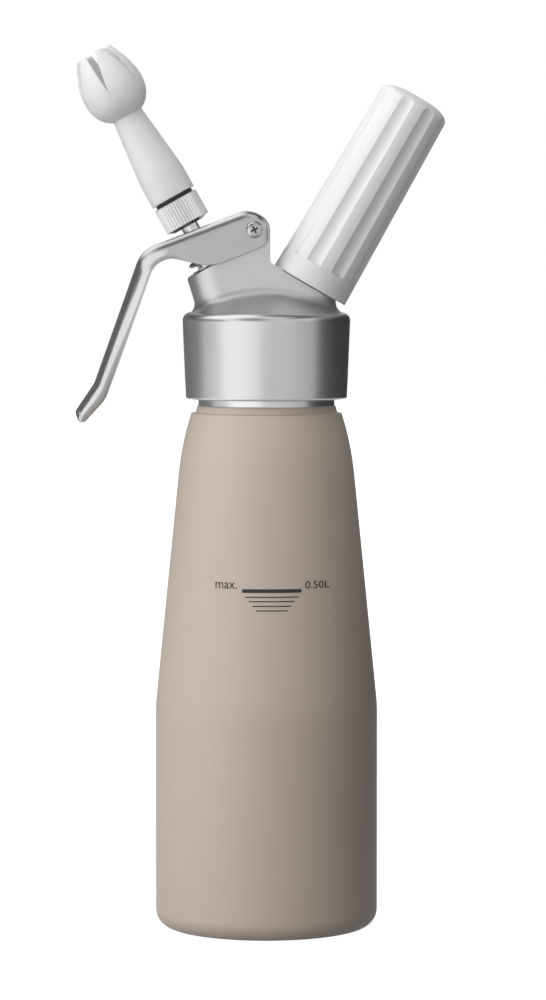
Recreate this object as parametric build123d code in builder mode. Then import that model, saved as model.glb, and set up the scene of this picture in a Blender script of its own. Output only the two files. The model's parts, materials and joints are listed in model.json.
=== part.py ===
from build123d import *
import os
from math import atan2, cos, radians, sin, tan

# Lever-operated cream dispenser: a lacquered bottle, a cast screw-on head, a
# squeeze lever, a spring-closed valve with a tulip nozzle, and a charger holder.
# All lengths in millimetres. +Z is up, the origin is the centre of the foot.
# The lever, the nozzle and the charger holder all lie in the XZ plane.

os.makedirs("parts", exist_ok=True)

# ---- bottle ----
bottle_radius = 39.0
bottle_wall = 1.2
foot_fillet = 6.3
foot_ring_width = 6.0
foot_hollow = 2.2
cone_start_height = 78.6
cone_blend = 3.0
shoulder_start_radius = 30.85
shoulder_start_height = 159.8
shoulder_end_radius = 26.4
shoulder_rise = 21.45
lacquer_step = 1.5
lacquer_step_drop = 0.3
lacquer_neck_height = 2.3
lacquer_neck_taper = 0.7
neck_radius = 23.9
neck_bare_height = 2.6
neck_thread_depth = 1.0
neck_height = 26.0
mouth_radius = 20.5
mouth_blend_height = 5.5
rim_chamfer = 0.5

# ---- fits ----
running_clearance = 0.05
press_clearance = 0.02
seat_clearance = 0.2
thread_clearance = 0.4
face_clearance = 0.1

# ---- head casting ----
collar_lift = 2.45
collar_height = 30.3
collar_bottom_radius = 28.3
collar_top_radius = 29.4
collar_corner = 3.0
collar_chamfer = 0.5
dome_rise = 6.9
body_half_width = 10.7
seat_boss_start = 20.0
body_foot_fillet = 4.0
column_foot_offset = 8.6
gasket_thickness = 2.7
vault_height = 2.5
vault_radius = 18.2

# ---- valve and nozzle axis ----
apex_x = -0.3
apex_drop = 17.35
valve_lean = 29.3
boss_top = 39.0
boss_offset = 1.0
boss_lean = 17.3
boss_depth = 16.0
boss_edge = 0.6
chamber_radius = 7.5
chamber_start = 10.0
seat_level = 24.0
throat_radius = 4.6
gland_seat_level = 31.0
gland_radius = 5.4
gland_flange_radius = 7.0
gland_flange_thickness = 0.4
gland_hub_radius = 4.7
gland_hub_height = 3.0
gland_o_ring_height = 1.9
stem_radius = 3.05
stem_bore = 1.8
stem_foot_level = 18.0
stem_port_radius = 1.2
stem_port_level = 27.6
stem_flange_radius = 6.3
stem_flange_thickness = 1.6
valve_seal_radius = 6.1
valve_seal_thickness = 2.0
seal_nut_flats = 8.0
seal_nut_thickness = 2.6
spring_length = 8.1
spring_wire = 1.4
spring_outer_radius = 7.1
spring_turns = 2.6
spring_start_turn = 60.0

# ---- pivot and lever ----
pivot_x = -4.1
pivot_rise = 46.1
pivot_pin_radius = 2.0
pivot_head_radius = 2.95
pivot_head_height = 1.5
pivot_head_round = 0.6
pivot_nut_height = 1.8
pivot_nut_flats = 6.0
column_crown_radius = 5.4
column_corner = 2.0
cheek_gap = 0.3
cheek_thickness = 2.0
crown_gap = 0.4
lever_face_x = 1.3
# corners as x, height above the pivot, rounding
lever_back = (
    (lever_face_x, 10.05, 7.8),
    (-43.5, -7.05, 11.0),
    (-60.1, -53.35, 12.0),
    (-67.0, -63.45, 2.5),
    (-65.0, -68.85, 1.8),
    (-56.5, -59.55, 14.0),
)
lever_belly_foot = (-59.9, -68.95)
lever_belly = (
    (-38.3, -8.55, 8.5),
    (-19.0, -13.15, 17.0),
    (lever_face_x, -4.85, 6.0),
)
lever_trim_x = 2.5
lever_trim_z = 4.0
lever_handle_half_width = 10.4
lever_tip_half_width = 8.2
lever_tip_slope = 0.05
lever_taper_start = -34.0
lever_taper_end = -46.0
lever_edge = 2.4
lever_web_level = 50.0
lever_web_fall = 0.077
lever_web_end = 4.0
lever_pocket_end = 10.5
lever_slot_half_width = 3.7
lever_slot_left = 3.6
lever_slot_right = 5.2
lever_nose_radius = 5.0
lever_nose_gap = 0.3

# ---- nozzle adapter ----
adapter_start = 54.6
adapter_length = 10.3
adapter_radius = 8.15
adapter_top_bevel_rise = 0.6
adapter_top_bevel_depth = 1.1
adapter_foot_bevel_rise = 1.0
adapter_foot_bevel_depth = 2.6
adapter_grooves = 44
adapter_groove_side = 0.6
adapter_spigot_radius = 5.6
adapter_spigot_length = 9.0
adapter_spigot_bore = 3.4
stem_thread_length = 9.0
nozzle_o_ring_height = 1.05
nozzle_o_ring_radius = 7.05
nozzle_o_ring_round = 0.4

# ---- tulip nozzle: radii and offsets from its lower face ----
nozzle_base_radius = 8.2
nozzle_base_blend = 25.0
nozzle_base_length = 8.8
nozzle_waist_radius = 5.55
nozzle_waist_offset = 32.3
nozzle_throat_offset = 32.6
nozzle_shoulder_radius = 9.5
nozzle_shoulder_offset = 36.1
nozzle_bulb_radius = 11.15
nozzle_bulb_offset = 41.6
nozzle_cheek_radius = 9.8
nozzle_cheek_offset = 50.1
nozzle_tip_radius = 6.6
nozzle_length = 57.1
nozzle_wall = 1.6
nozzle_socket_depth = 8.4
nozzle_socket_gap = 0.3
nozzle_slots = 6
nozzle_slot_width = 3.8
nozzle_slot_length = 15.0
nozzle_slot_turn = -98.5

# ---- charger seat, charger and holder axis ----
holder_lean = 30.0
holder_seat_level = 30.7
nipple_radius = 11.0
nipple_length = 8.5
nipple_stub_radius = 6.0
nipple_stub_length = 5.7
nipple_chamfer = 0.5
pin_body_radius = 3.0
pin_body_height = 3.6
pin_needle_radius = 0.9
pin_needle_reach = 3.0
gas_channel_radius = 0.8
charger_seal_seat = 1.8
charger_seal_thickness = 1.7
charger_seal_bore = 1.3
charger_radius = 9.0
charger_length = 65.5
charger_neck_radius = 4.4
charger_neck_length = 7.0
charger_shoulder_length = 7.0
charger_neck_gap = 0.3
charger_pierced_depth = 1.9
holder_base_radius = 14.15
holder_top_radius = 12.8
holder_end_round = 8.0
holder_end_drop = 3.8
holder_end_wall = 3.2
holder_cavity_gap = 0.35
holder_flutes = 9
holder_flute_width = 5.8
holder_flute_depth = 1.25
holder_flute_start = 7.5
holder_flute_fade = 0.28
holder_flute_turn = -102.3
insert_wall = 0.95
insert_length = 7.0
insert_recess = 0.4
pad_floor = 3.35
pad_cup = 1.5
check_stub_radius = 3.0
check_stub_foot = 10.6
check_stub_root = 18.6
check_sleeve_wall = 1.3
check_sleeve_low = 11.6
check_sleeve_high = 15.0

# ---- worked out from the sizes above ----
right_angle = 90
half_right_angle = right_angle / 2
neck_root_radius = neck_radius - neck_thread_depth
shoulder_end_height = shoulder_start_height + shoulder_rise
step_height = shoulder_end_height + lacquer_step_drop
lacquer_top_height = step_height + lacquer_neck_height
lacquer_foot_radius = shoulder_end_radius - lacquer_step
lacquer_top_radius = lacquer_foot_radius - lacquer_neck_taper
bare_top_height = lacquer_top_height + neck_bare_height
neck_top_height = lacquer_top_height + neck_height
ceiling_height = neck_top_height + seat_clearance + gasket_thickness
vault_top_height = ceiling_height + vault_height
collar_bore = neck_radius + thread_clearance
collar_bottom_height = lacquer_top_height + collar_lift
ledge_height = collar_bottom_height + collar_height
apex_height = ledge_height - apex_drop
pivot_height = apex_height + pivot_rise
foot_ring_outer = bottle_radius - foot_fillet
foot_ring_inner = foot_ring_outer - foot_ring_width
cone_turn = atan2(bottle_radius - shoulder_start_radius, shoulder_start_height - cone_start_height)

valve_tilt = radians(valve_lean)
valve_dir = (-sin(valve_tilt), 0, cos(valve_tilt))
valve_side = (cos(valve_tilt), 0, sin(valve_tilt))
holder_tilt = radians(holder_lean)
holder_dir = (sin(holder_tilt), 0, cos(holder_tilt))
holder_side = (cos(holder_tilt), 0, -sin(holder_tilt))
apex = (apex_x, 0, apex_height)
boss_tilt = radians(boss_lean)
boss_down = (sin(boss_tilt), 0, -cos(boss_tilt))

# section planes: local x is the distance from the axis, local y the way along it
front = (0, -1, 0)
valve_section = Plane(origin=apex, x_dir=valve_side, z_dir=front)
holder_section = Plane(origin=apex, x_dir=holder_side, z_dir=front)
valve_axis = Axis(apex, valve_dir)
holder_axis = Axis(apex, holder_dir)


def along(direction, distance):
    """The point at a distance from the apex, along a leaning axis."""
    return tuple(a + distance * d for a, d in zip(apex, direction))


def valve_plane(level):
    """A plane square to the valve axis, level mm from the apex."""
    return Plane(origin=along(valve_dir, level), x_dir=valve_side, z_dir=valve_dir)


def holder_plane(level):
    """A plane square to the holder axis, level mm from the apex."""
    return Plane(origin=along(holder_dir, level), x_dir=holder_side, z_dir=holder_dir)


def turned_box(inner, outer, low, high):
    """One rectangle of a turned section, between two radii and two levels."""
    with Locations(((inner + outer) / 2, (low + high) / 2)):
        Rectangle(outer - inner, high - low)


def finish(builder, name):
    """Label a piece and write it to its own file."""
    builder.part.label = name
    export_step(builder.part, "parts/" + name + ".step")


# ---- bottle: impact-extruded shell with a necked mouth ----
blend_low = cone_start_height - cone_blend
blend_high = cone_start_height + cone_blend * cos(cone_turn)
blend_radius = bottle_radius - cone_blend * sin(cone_turn)
cone_tangent = (-sin(cone_turn), cos(cone_turn))
shoulder_inner_radius = lacquer_top_radius - bottle_wall

with BuildPart() as bottle:
    with BuildSketch(Plane.XZ):
        with BuildLine():
            Polyline(
                (0, foot_hollow),
                (0, neck_top_height),
                (neck_root_radius - rim_chamfer, neck_top_height),
                (neck_root_radius, neck_top_height - rim_chamfer),
                (neck_root_radius, bare_top_height + neck_thread_depth),
                (neck_radius, bare_top_height),
                (neck_radius, lacquer_top_height),
                (lacquer_top_radius, lacquer_top_height),
                (lacquer_foot_radius, step_height),
                (shoulder_end_radius, shoulder_end_height),
            )
            TangentArc(
                (shoulder_start_radius, shoulder_start_height),
                (shoulder_end_radius, shoulder_end_height),
                tangent=cone_tangent,
            )
            Line((shoulder_start_radius, shoulder_start_height), (blend_radius, blend_high))
            TangentArc((bottle_radius, blend_low), (blend_radius, blend_high), tangent=(0, 1))
            Line((bottle_radius, blend_low), (bottle_radius, foot_fillet))
            TangentArc((foot_ring_outer, 0), (bottle_radius, foot_fillet), tangent=(1, 0))
            Line((foot_ring_outer, 0), (foot_ring_inner, 0))
            TangentArc((0, foot_hollow), (foot_ring_inner, 0), tangent=(1, 0))
        make_face()
    revolve(axis=Axis.Z)
    with BuildSketch(Plane.XZ):
        with BuildLine():
            Polyline(
                (0, foot_hollow + bottle_wall),
                (0, neck_top_height),
                (mouth_radius, neck_top_height),
                (mouth_radius, step_height + mouth_blend_height),
                (shoulder_inner_radius, step_height),
            )
            TangentArc(
                (shoulder_start_radius - bottle_wall, shoulder_start_height),
                (shoulder_inner_radius, step_height),
                tangent=cone_tangent,
            )
            Line(
                (shoulder_start_radius - bottle_wall, shoulder_start_height),
                (blend_radius - bottle_wall, blend_high),
            )
            TangentArc(
                (bottle_radius - bottle_wall, blend_low),
                (blend_radius - bottle_wall, blend_high),
                tangent=(0, 1),
            )
            Line(
                (bottle_radius - bottle_wall, blend_low),
                (bottle_radius - bottle_wall, foot_fillet),
            )
            TangentArc(
                (foot_ring_outer, bottle_wall),
                (bottle_radius - bottle_wall, foot_fillet),
                tangent=(1, 0),
            )
            Line((foot_ring_outer, bottle_wall), (foot_ring_inner, bottle_wall))
            TangentArc(
                (0, foot_hollow + bottle_wall), (foot_ring_inner, bottle_wall), tangent=(1, 0)
            )
        make_face()
    revolve(axis=Axis.Z, mode=Mode.SUBTRACT)
finish(bottle, "bottle")

# ---- head casting: screw collar, dome, valve boss, pivot column, charger seat ----
seat_point = along(holder_dir, holder_seat_level)
boss_plane = Plane(origin=along(valve_dir, boss_top), x_dir=valve_side, z_dir=valve_dir)
boss_point = boss_plane.from_local_coords((boss_offset, 0))
boss_foot = boss_point + Vector(*boss_down) * boss_depth
column_foot = boss_plane.from_local_coords((column_foot_offset, 0))
column_right = pivot_x + column_crown_radius
column_left = pivot_x - column_crown_radius
column_root_height = seat_point[2] - (column_right - seat_point[0]) * tan(holder_tilt)
seat_foot = along(holder_dir, seat_boss_start)
dome_radius = collar_top_radius - collar_corner
dome_top_height = ledge_height + dome_rise
column_root_point = (column_right, 0, column_root_height)
nipple_socket_level = holder_seat_level - nipple_stub_length - seat_clearance


def on_dome(edge):
    """True for the edges where the body and the bosses meet the dome."""
    box = edge.bounding_box()
    return ledge_height < box.min.Z and box.max.Z < dome_top_height


def on_boss_top(edge):
    """True for the rim of the valve boss."""
    return abs(boss_plane.to_local_coords(edge.center()).Z) < boss_edge


with BuildPart() as head_casting:
    with BuildSketch(Plane.XZ):
        with BuildLine():
            Line((0, vault_top_height), (0, ledge_height + dome_rise))
            TangentArc((0, ledge_height + dome_rise), (dome_radius, ledge_height), tangent=(1, 0))
            TangentArc(
                (dome_radius, ledge_height),
                (collar_top_radius, ledge_height - collar_corner),
                tangent=(1, 0),
            )
            Polyline(
                (collar_top_radius, ledge_height - collar_corner),
                (collar_bottom_radius, collar_bottom_height + collar_chamfer),
                (collar_bottom_radius - collar_chamfer, collar_bottom_height),
                (collar_bore, collar_bottom_height),
                (collar_bore, ceiling_height),
                (vault_radius, ceiling_height),
                (vault_radius, vault_top_height),
                (0, vault_top_height),
            )
        make_face()
    revolve(axis=Axis.Z)
    # the flat-sided body that carries the pivot, tangent to both bosses
    with BuildSketch(Plane.XZ):
        with BuildLine():
            Polyline(
                (column_left, pivot_height),
                (column_foot.X, column_foot.Z),
                (boss_point.X, boss_point.Z),
                (boss_foot.X, boss_foot.Z),
                (seat_foot[0], seat_foot[2]),
                (seat_point[0], seat_point[2]),
                (column_right, column_root_height),
                (column_right, pivot_height),
            )
            ThreePointArc(
                (column_right, pivot_height),
                (pivot_x, pivot_height + column_crown_radius),
                (column_left, pivot_height),
            )
        make_face()
    extrude(amount=body_half_width, both=True)
    with BuildSketch(boss_plane):
        with Locations((boss_offset, 0)):
            Circle(body_half_width)
    extrude(amount=boss_depth, dir=boss_down)
    with BuildSketch(holder_plane(seat_boss_start)):
        Circle(body_half_width)
    extrude(amount=holder_seat_level - seat_boss_start)
    fillet(head_casting.edges().filter_by(on_dome), body_foot_fillet)
    column_root = head_casting.edges().filter_by(Axis.Y).sort_by_distance(column_root_point)[0]
    fillet(column_root, column_corner)
    boss_rims = head_casting.edges().filter_by(GeomType.CIRCLE).filter_by(on_boss_top)
    chamfer(boss_rims, boss_edge)
    # stub that carries the check valve sleeve under the vault
    with BuildSketch(holder_section):
        turned_box(0, check_stub_radius, check_stub_foot, check_stub_root)
    revolve(axis=holder_axis)
    # valve chamber, throat and gland seat
    with BuildSketch(valve_section):
        turned_box(0, chamber_radius, chamber_start, seat_level)
        turned_box(0, throat_radius, seat_level, gland_seat_level)
        turned_box(0, gland_radius + press_clearance, gland_seat_level, boss_top)
    revolve(axis=valve_axis, mode=Mode.SUBTRACT)
    # nipple socket and the gas channel down to the check valve
    with BuildSketch(holder_section):
        turned_box(0, nipple_stub_radius + press_clearance, nipple_socket_level, holder_seat_level)
        turned_box(0, gas_channel_radius, check_stub_foot, nipple_socket_level)
    revolve(axis=holder_axis, mode=Mode.SUBTRACT)
    with BuildSketch(Plane.XZ):
        with Locations((pivot_x, pivot_height)):
            Circle(pivot_pin_radius + press_clearance)
    extrude(amount=body_half_width, both=True, mode=Mode.SUBTRACT)
finish(head_casting, "head_casting")

# ---- head gasket, seated under the ceiling and resting on the bottle's rim ----
with BuildPart() as head_gasket:
    with BuildSketch(Plane.XY.offset(neck_top_height + seat_clearance)):
        Circle(collar_bore - face_clearance)
        Circle(mouth_radius, mode=Mode.SUBTRACT)
    extrude(amount=gasket_thickness)
finish(head_gasket, "head_gasket")

# ---- valve: gland, seals, stem, spring ----
gland_foot = gland_seat_level + gland_o_ring_height
gland_top = boss_top + gland_flange_thickness
stem_hole = stem_radius + running_clearance

with BuildPart() as valve_gland:
    with BuildSketch(valve_section):
        turned_box(stem_hole, gland_radius, gland_foot, gland_top)
        turned_box(gland_radius, gland_flange_radius, boss_top, gland_top)
        turned_box(stem_hole, gland_hub_radius, gland_top, gland_top + gland_hub_height)
    revolve(axis=valve_axis)
finish(valve_gland, "valve_gland")

with BuildPart() as gland_o_ring:
    with BuildSketch(valve_section):
        turned_box(stem_hole, gland_radius, gland_seat_level, gland_foot)
    revolve(axis=valve_axis)
finish(gland_o_ring, "gland_o_ring")

flange_low = gland_top + spring_length + face_clearance
flange_high = flange_low + stem_flange_thickness
seal_high = seat_level - face_clearance
seal_low = seal_high - valve_seal_thickness
nut_low = seal_low - seal_nut_thickness
stem_top_level = adapter_start + stem_thread_length

with BuildPart() as valve_stem:
    with BuildSketch(valve_section):
        turned_box(0, stem_radius, stem_foot_level, stem_top_level)
        turned_box(stem_radius, stem_flange_radius, flange_low, flange_high)
    revolve(axis=valve_axis)
    with BuildSketch(valve_section):
        turned_box(0, stem_bore, stem_port_level, stem_top_level)
    revolve(axis=valve_axis, mode=Mode.SUBTRACT)
    with BuildSketch(Plane(origin=along(valve_dir, stem_port_level), z_dir=front)):
        Circle(stem_port_radius)
    extrude(amount=stem_radius, both=True, mode=Mode.SUBTRACT)
finish(valve_stem, "valve_stem")

with BuildPart() as valve_seal:
    with BuildSketch(valve_section):
        turned_box(stem_radius + press_clearance, valve_seal_radius, seal_low, seal_high)
    revolve(axis=valve_axis)
finish(valve_seal, "valve_seal")

with BuildPart() as seal_nut:
    with BuildSketch(valve_plane(nut_low)):
        RegularPolygon(seal_nut_flats / 2, side_count=6, major_radius=False)
        Circle(stem_radius + press_clearance, mode=Mode.SUBTRACT)
    extrude(amount=seal_nut_thickness)
finish(seal_nut, "seal_nut")

coil_radius = spring_outer_radius - spring_wire / 2
coil_rise = spring_length - spring_wire
with BuildPart() as return_spring:
    with BuildLine():
        coil = Helix(
            pitch=coil_rise / spring_turns,
            height=coil_rise,
            radius=coil_radius,
            center=along(valve_dir, gland_top + spring_wire / 2),
            direction=valve_dir,
            lefthand=True,
            mode=Mode.PRIVATE,
        ).rotate(valve_axis, spring_start_turn)
        add(coil)
    with BuildSketch(Plane(origin=coil @ 0, z_dir=coil % 0)):
        Circle(spring_wire / 2)
    sweep()
finish(return_spring, "return_spring")

# ---- pivot screw and nut ----
cheek_inner = body_half_width + cheek_gap
cheek_outer = cheek_inner + cheek_thickness
screw_seat = cheek_outer + face_clearance

with BuildPart() as pivot_screw:
    with BuildSketch(Plane.XZ.offset(-screw_seat - pivot_nut_height)):
        with Locations((pivot_x, pivot_height)):
            Circle(pivot_pin_radius)
    extrude(amount=2 * screw_seat + pivot_nut_height)
    with BuildSketch(Plane.XZ.offset(screw_seat)):
        with Locations((pivot_x, pivot_height)):
            Circle(pivot_head_radius)
    extrude(amount=pivot_head_height)
    head_rim = pivot_screw.edges().filter_by(GeomType.CIRCLE).sort_by(Axis.Y)[0]
    fillet(head_rim, pivot_head_round)
finish(pivot_screw, "pivot_screw")

with BuildPart() as pivot_nut:
    with BuildSketch(Plane.XZ.offset(-screw_seat)):
        with Locations((pivot_x, pivot_height)):
            RegularPolygon(pivot_nut_flats / 2, side_count=6, major_radius=False)
            Circle(pivot_pin_radius + press_clearance, mode=Mode.SUBTRACT)
    extrude(amount=-pivot_nut_height)
finish(pivot_nut, "pivot_nut")

# ---- lever: a yoke with two cheeks over the column, and a tapered handle ----
belly_stock = (
    (lever_belly[0][0] + lever_trim_x, lever_belly[0][1] - lever_trim_z, lever_belly[0][2]),
    (lever_belly[1][0], lever_belly[1][1] - lever_trim_z, lever_belly[1][2]),
    (lever_face_x, lever_belly[2][1] - lever_trim_z, lever_belly[2][2]),
)
lever_corners = (*lever_back, *belly_stock)
lever_points = [(x, pivot_height + z) for x, z, _ in lever_corners]
belly_points = [(x, pivot_height + z) for x, z, _ in lever_belly]
belly_foot = (lever_belly_foot[0], pivot_height + lever_belly_foot[1])
lever_rounds = [r for _, _, r in lever_corners]
lever_low = min(z for _, z in lever_points)
lever_high = max(z for _, z in lever_points)
lever_left = min(x for x, _ in lever_points)
pivot_place = valve_section.to_local_coords(Vector(pivot_x, 0, pivot_height))
pivot_offset = pivot_place.X
pivot_level = pivot_place.Y
nose_level = flange_high + lever_nose_gap + lever_nose_radius
pocket_rise = lever_web_fall * lever_pocket_end
pocket_fall = lever_web_fall * pivot_offset

with BuildPart() as lever:
    with BuildSketch(Plane.XZ):
        with BuildLine():
            FilletPolyline(*lever_points, radius=lever_rounds, close=True)
        make_face()
    extrude(amount=cheek_outer, both=True)
    # the plan view: parallel yoke, then a waist, then the tapering handle
    with BuildSketch(Plane.XY.offset(lever_low)):
        with BuildLine():
            plan_edge = Spline(
                (lever_taper_start, cheek_outer),
                (lever_taper_end, lever_handle_half_width),
                (lever_left, lever_tip_half_width),
                tangents=((-1, 0), (-1, -lever_tip_slope)),
            )
            Line((lever_left, lever_tip_half_width), (lever_left, 0))
            Line((lever_left, 0), (lever_face_x, 0))
            Line((lever_face_x, 0), (lever_face_x, cheek_outer))
            Line((lever_face_x, cheek_outer), (lever_taper_start, cheek_outer))
        make_face()
        mirror(about=Plane.XZ)
    extrude(amount=lever_high - lever_low, mode=Mode.INTERSECT)
    fillet(lever.edges().filter_by(Axis.Y, reverse=True), lever_edge)
    # trim the belly and the cheeks to their crisp lower edge
    with BuildSketch(Plane.XZ):
        with BuildLine():
            belly_edge = FilletPolyline(
                belly_foot,
                *belly_points,
                (lever_face_x, lever_high),
                radius=[r for _, _, r in lever_belly],
            )
            Polyline(
                belly_edge @ 1,
                (lever_face_x + lever_trim_x, lever_high),
                (lever_face_x + lever_trim_x, lever_low - lever_trim_z),
                (belly_foot[0], lever_low - lever_trim_z),
                belly_edge @ 0,
            )
        make_face()
    extrude(amount=cheek_outer, both=True, mode=Mode.SUBTRACT)
    # hollow between the cheeks, under the web
    with BuildSketch(valve_section) as pocket:
        with BuildLine():
            Polyline(
                (-lever_pocket_end, 0),
                (-lever_pocket_end, lever_web_level + pocket_rise),
                (pivot_offset, lever_web_level - pocket_fall),
                (pivot_offset, 0),
                close=True,
            )
        make_face()
        with Locations((pivot_offset, pivot_level)):
            Circle(column_crown_radius + crown_gap)
    extrude(amount=cheek_inner, both=True, mode=Mode.SUBTRACT)
    with BuildSketch(Plane.XZ):
        with BuildLine():
            Polyline(
                (pivot_x - lever_web_end, pivot_height),
                (pivot_x - lever_web_end, lever_high),
                (lever_face_x, lever_high),
                (lever_face_x, lever_low),
                (pivot_x, lever_low),
                (pivot_x, pivot_height),
                close=True,
            )
        make_face()
    extrude(amount=cheek_inner, both=True, mode=Mode.SUBTRACT)
    # rounded nose that bears on the stem's flange
    with BuildSketch(valve_section):
        with Locations((0, nose_level)):
            Circle(lever_nose_radius)
        with Locations((0, lever_web_level + lever_nose_radius + lever_nose_gap)):
            Rectangle(2 * lever_nose_radius, 2 * lever_nose_radius, mode=Mode.SUBTRACT)
    extrude(amount=cheek_inner, both=True)
    # slot for the stem and bores for the pivot screw
    with BuildSketch(valve_plane(flange_high)):
        with Locations(((lever_slot_right - lever_slot_left) / 2, 0)):
            SlotOverall(lever_slot_left + lever_slot_right, 2 * lever_slot_half_width)
    extrude(amount=lever_high - lever_low, mode=Mode.SUBTRACT)
    with BuildSketch(Plane.XZ):
        with Locations((pivot_x, pivot_height)):
            Circle(pivot_pin_radius + running_clearance)
    extrude(amount=cheek_outer, both=True, mode=Mode.SUBTRACT)
finish(lever, "lever")

# ---- nozzle adapter: grooved grip, spigot for the nozzle, threaded on the stem ----
adapter_top = adapter_start + adapter_length
nozzle_foot = adapter_top + nozzle_o_ring_height
spigot_top = adapter_top + adapter_spigot_length
adapter_outline = (
    (0, adapter_start),
    (adapter_radius - adapter_foot_bevel_depth, adapter_start),
    (adapter_radius, adapter_start + adapter_foot_bevel_rise),
    (adapter_radius, adapter_top - adapter_top_bevel_rise),
    (adapter_radius - adapter_top_bevel_depth, adapter_top),
    (0, adapter_top),
)

with BuildPart() as nozzle_adapter:
    with BuildSketch(valve_section):
        with BuildLine():
            Polyline(*adapter_outline, close=True)
        make_face()
    revolve(axis=valve_axis)
    with BuildSketch(valve_plane(adapter_start)):
        with PolarLocations(adapter_radius, adapter_grooves):
            Rectangle(adapter_groove_side, adapter_groove_side, rotation=half_right_angle)
    extrude(amount=adapter_length, mode=Mode.SUBTRACT)
    with BuildSketch(valve_section):
        turned_box(0, adapter_spigot_radius, adapter_start + stem_thread_length, spigot_top)
    revolve(axis=valve_axis)
    with BuildSketch(valve_section):
        turned_box(0, stem_hole, adapter_start, stem_top_level + face_clearance)
        turned_box(0, adapter_spigot_bore, stem_top_level, spigot_top)
    revolve(axis=valve_axis, mode=Mode.SUBTRACT)
finish(nozzle_adapter, "nozzle_adapter")

with BuildPart() as nozzle_o_ring:
    with BuildSketch(valve_section):
        turned_box(
            adapter_spigot_radius + press_clearance,
            nozzle_o_ring_radius,
            adapter_top,
            nozzle_foot - face_clearance,
        )
    revolve(axis=valve_axis)
    ring_rims = nozzle_o_ring.edges().filter_by(GeomType.CIRCLE).sort_by(SortBy.RADIUS)[-2:]
    fillet(ring_rims, nozzle_o_ring_round)
finish(nozzle_o_ring, "nozzle_o_ring")

# ---- tulip nozzle: tapered tube that opens into a slotted bulb ----
socket_radius = adapter_spigot_radius + nozzle_socket_gap
nozzle_top = nozzle_foot + nozzle_length
waist_level = nozzle_foot + nozzle_waist_offset
throat_level = nozzle_foot + nozzle_throat_offset
bulb_outline = (
    (nozzle_shoulder_radius, nozzle_foot + nozzle_shoulder_offset),
    (nozzle_bulb_radius, nozzle_foot + nozzle_bulb_offset),
    (nozzle_cheek_radius, nozzle_foot + nozzle_cheek_offset),
    (nozzle_tip_radius, nozzle_top),
)
bulb_inside = [(r - nozzle_wall, level) for r, level in bulb_outline]
socket_level = nozzle_foot + nozzle_socket_depth
inner_waist = nozzle_waist_radius - nozzle_wall

with BuildPart() as decorating_nozzle:
    with BuildSketch(valve_section):
        with BuildLine():
            Polyline((0, nozzle_top), (0, nozzle_foot), (nozzle_base_radius, nozzle_foot))
            FilletPolyline(
                (nozzle_base_radius, nozzle_foot),
                (nozzle_base_radius, nozzle_foot + nozzle_base_length),
                (nozzle_waist_radius, waist_level),
                radius=nozzle_base_blend,
            )
            Line((nozzle_waist_radius, waist_level), (nozzle_waist_radius, throat_level))
            Spline((nozzle_waist_radius, throat_level), *bulb_outline)
            Line((nozzle_tip_radius, nozzle_top), (0, nozzle_top))
        make_face()
    revolve(axis=valve_axis)
    with BuildSketch(valve_section):
        with BuildLine():
            Polyline(
                bulb_inside[-1],
                (0, nozzle_top),
                (0, nozzle_foot),
                (socket_radius, nozzle_foot),
                (socket_radius, socket_level),
                (inner_waist, waist_level),
                (inner_waist, throat_level + nozzle_wall),
            )
            Spline((inner_waist, throat_level + nozzle_wall), *bulb_inside)
        make_face()
    revolve(axis=valve_axis, mode=Mode.SUBTRACT)
    for slot in range(nozzle_slots):
        turn = radians(nozzle_slot_turn + slot * 360 / nozzle_slots)
        outward = tuple(
            cos(turn) * side + sin(turn) * back for side, back in zip(valve_side, (0, 1, 0))
        )
        with BuildSketch(Plane(along(valve_dir, nozzle_top), x_dir=valve_dir, z_dir=outward)):
            with BuildLine():
                Polyline(
                    (-nozzle_slot_length, 0),
                    (0, nozzle_slot_width / 2),
                    (nozzle_wall, nozzle_slot_width / 2),
                    (nozzle_wall, -nozzle_slot_width / 2),
                    (0, -nozzle_slot_width / 2),
                    close=True,
                )
            make_face()
        extrude(amount=nozzle_bulb_radius + nozzle_wall, mode=Mode.SUBTRACT)
finish(decorating_nozzle, "decorating_nozzle")

# ---- charger nipple, piercing pin and seal ----
nipple_top = holder_seat_level + nipple_length
nipple_low = holder_seat_level - nipple_stub_length
neck_seat = holder_seat_level + charger_seal_seat
pin_low = neck_seat - pin_body_height
neck_bore = charger_neck_radius + charger_neck_gap

with BuildPart() as charger_nipple:
    with BuildSketch(holder_section):
        turned_box(0, nipple_radius, holder_seat_level, nipple_top)
        turned_box(0, nipple_stub_radius, nipple_low, holder_seat_level)
    revolve(axis=holder_axis)
    nipple_rims = charger_nipple.edges().filter_by(GeomType.CIRCLE)
    chamfer(nipple_rims.sort_by(SortBy.RADIUS)[-2:], nipple_chamfer)
    with BuildSketch(holder_section):
        turned_box(0, neck_bore, neck_seat, nipple_top)
        turned_box(0, pin_body_radius + press_clearance, pin_low, neck_seat)
        turned_box(0, gas_channel_radius, nipple_low, pin_low)
    revolve(axis=holder_axis, mode=Mode.SUBTRACT)
finish(charger_nipple, "charger_nipple")

with BuildPart() as piercing_pin:
    with BuildSketch(holder_section):
        with BuildLine():
            Polyline(
                (0, pin_low),
                (pin_body_radius, pin_low),
                (pin_body_radius, neck_seat),
                (pin_needle_radius, neck_seat),
                (pin_needle_radius, neck_seat + pin_needle_reach - pin_needle_radius),
                (0, neck_seat + pin_needle_reach),
                close=True,
            )
        make_face()
    revolve(axis=holder_axis)
finish(piercing_pin, "piercing_pin")

seal_top = neck_seat + charger_seal_thickness
with BuildPart() as charger_seal:
    with BuildSketch(holder_section):
        turned_box(charger_seal_bore, charger_neck_radius, neck_seat, seal_top)
    revolve(axis=holder_axis)
finish(charger_seal, "charger_seal")

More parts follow.
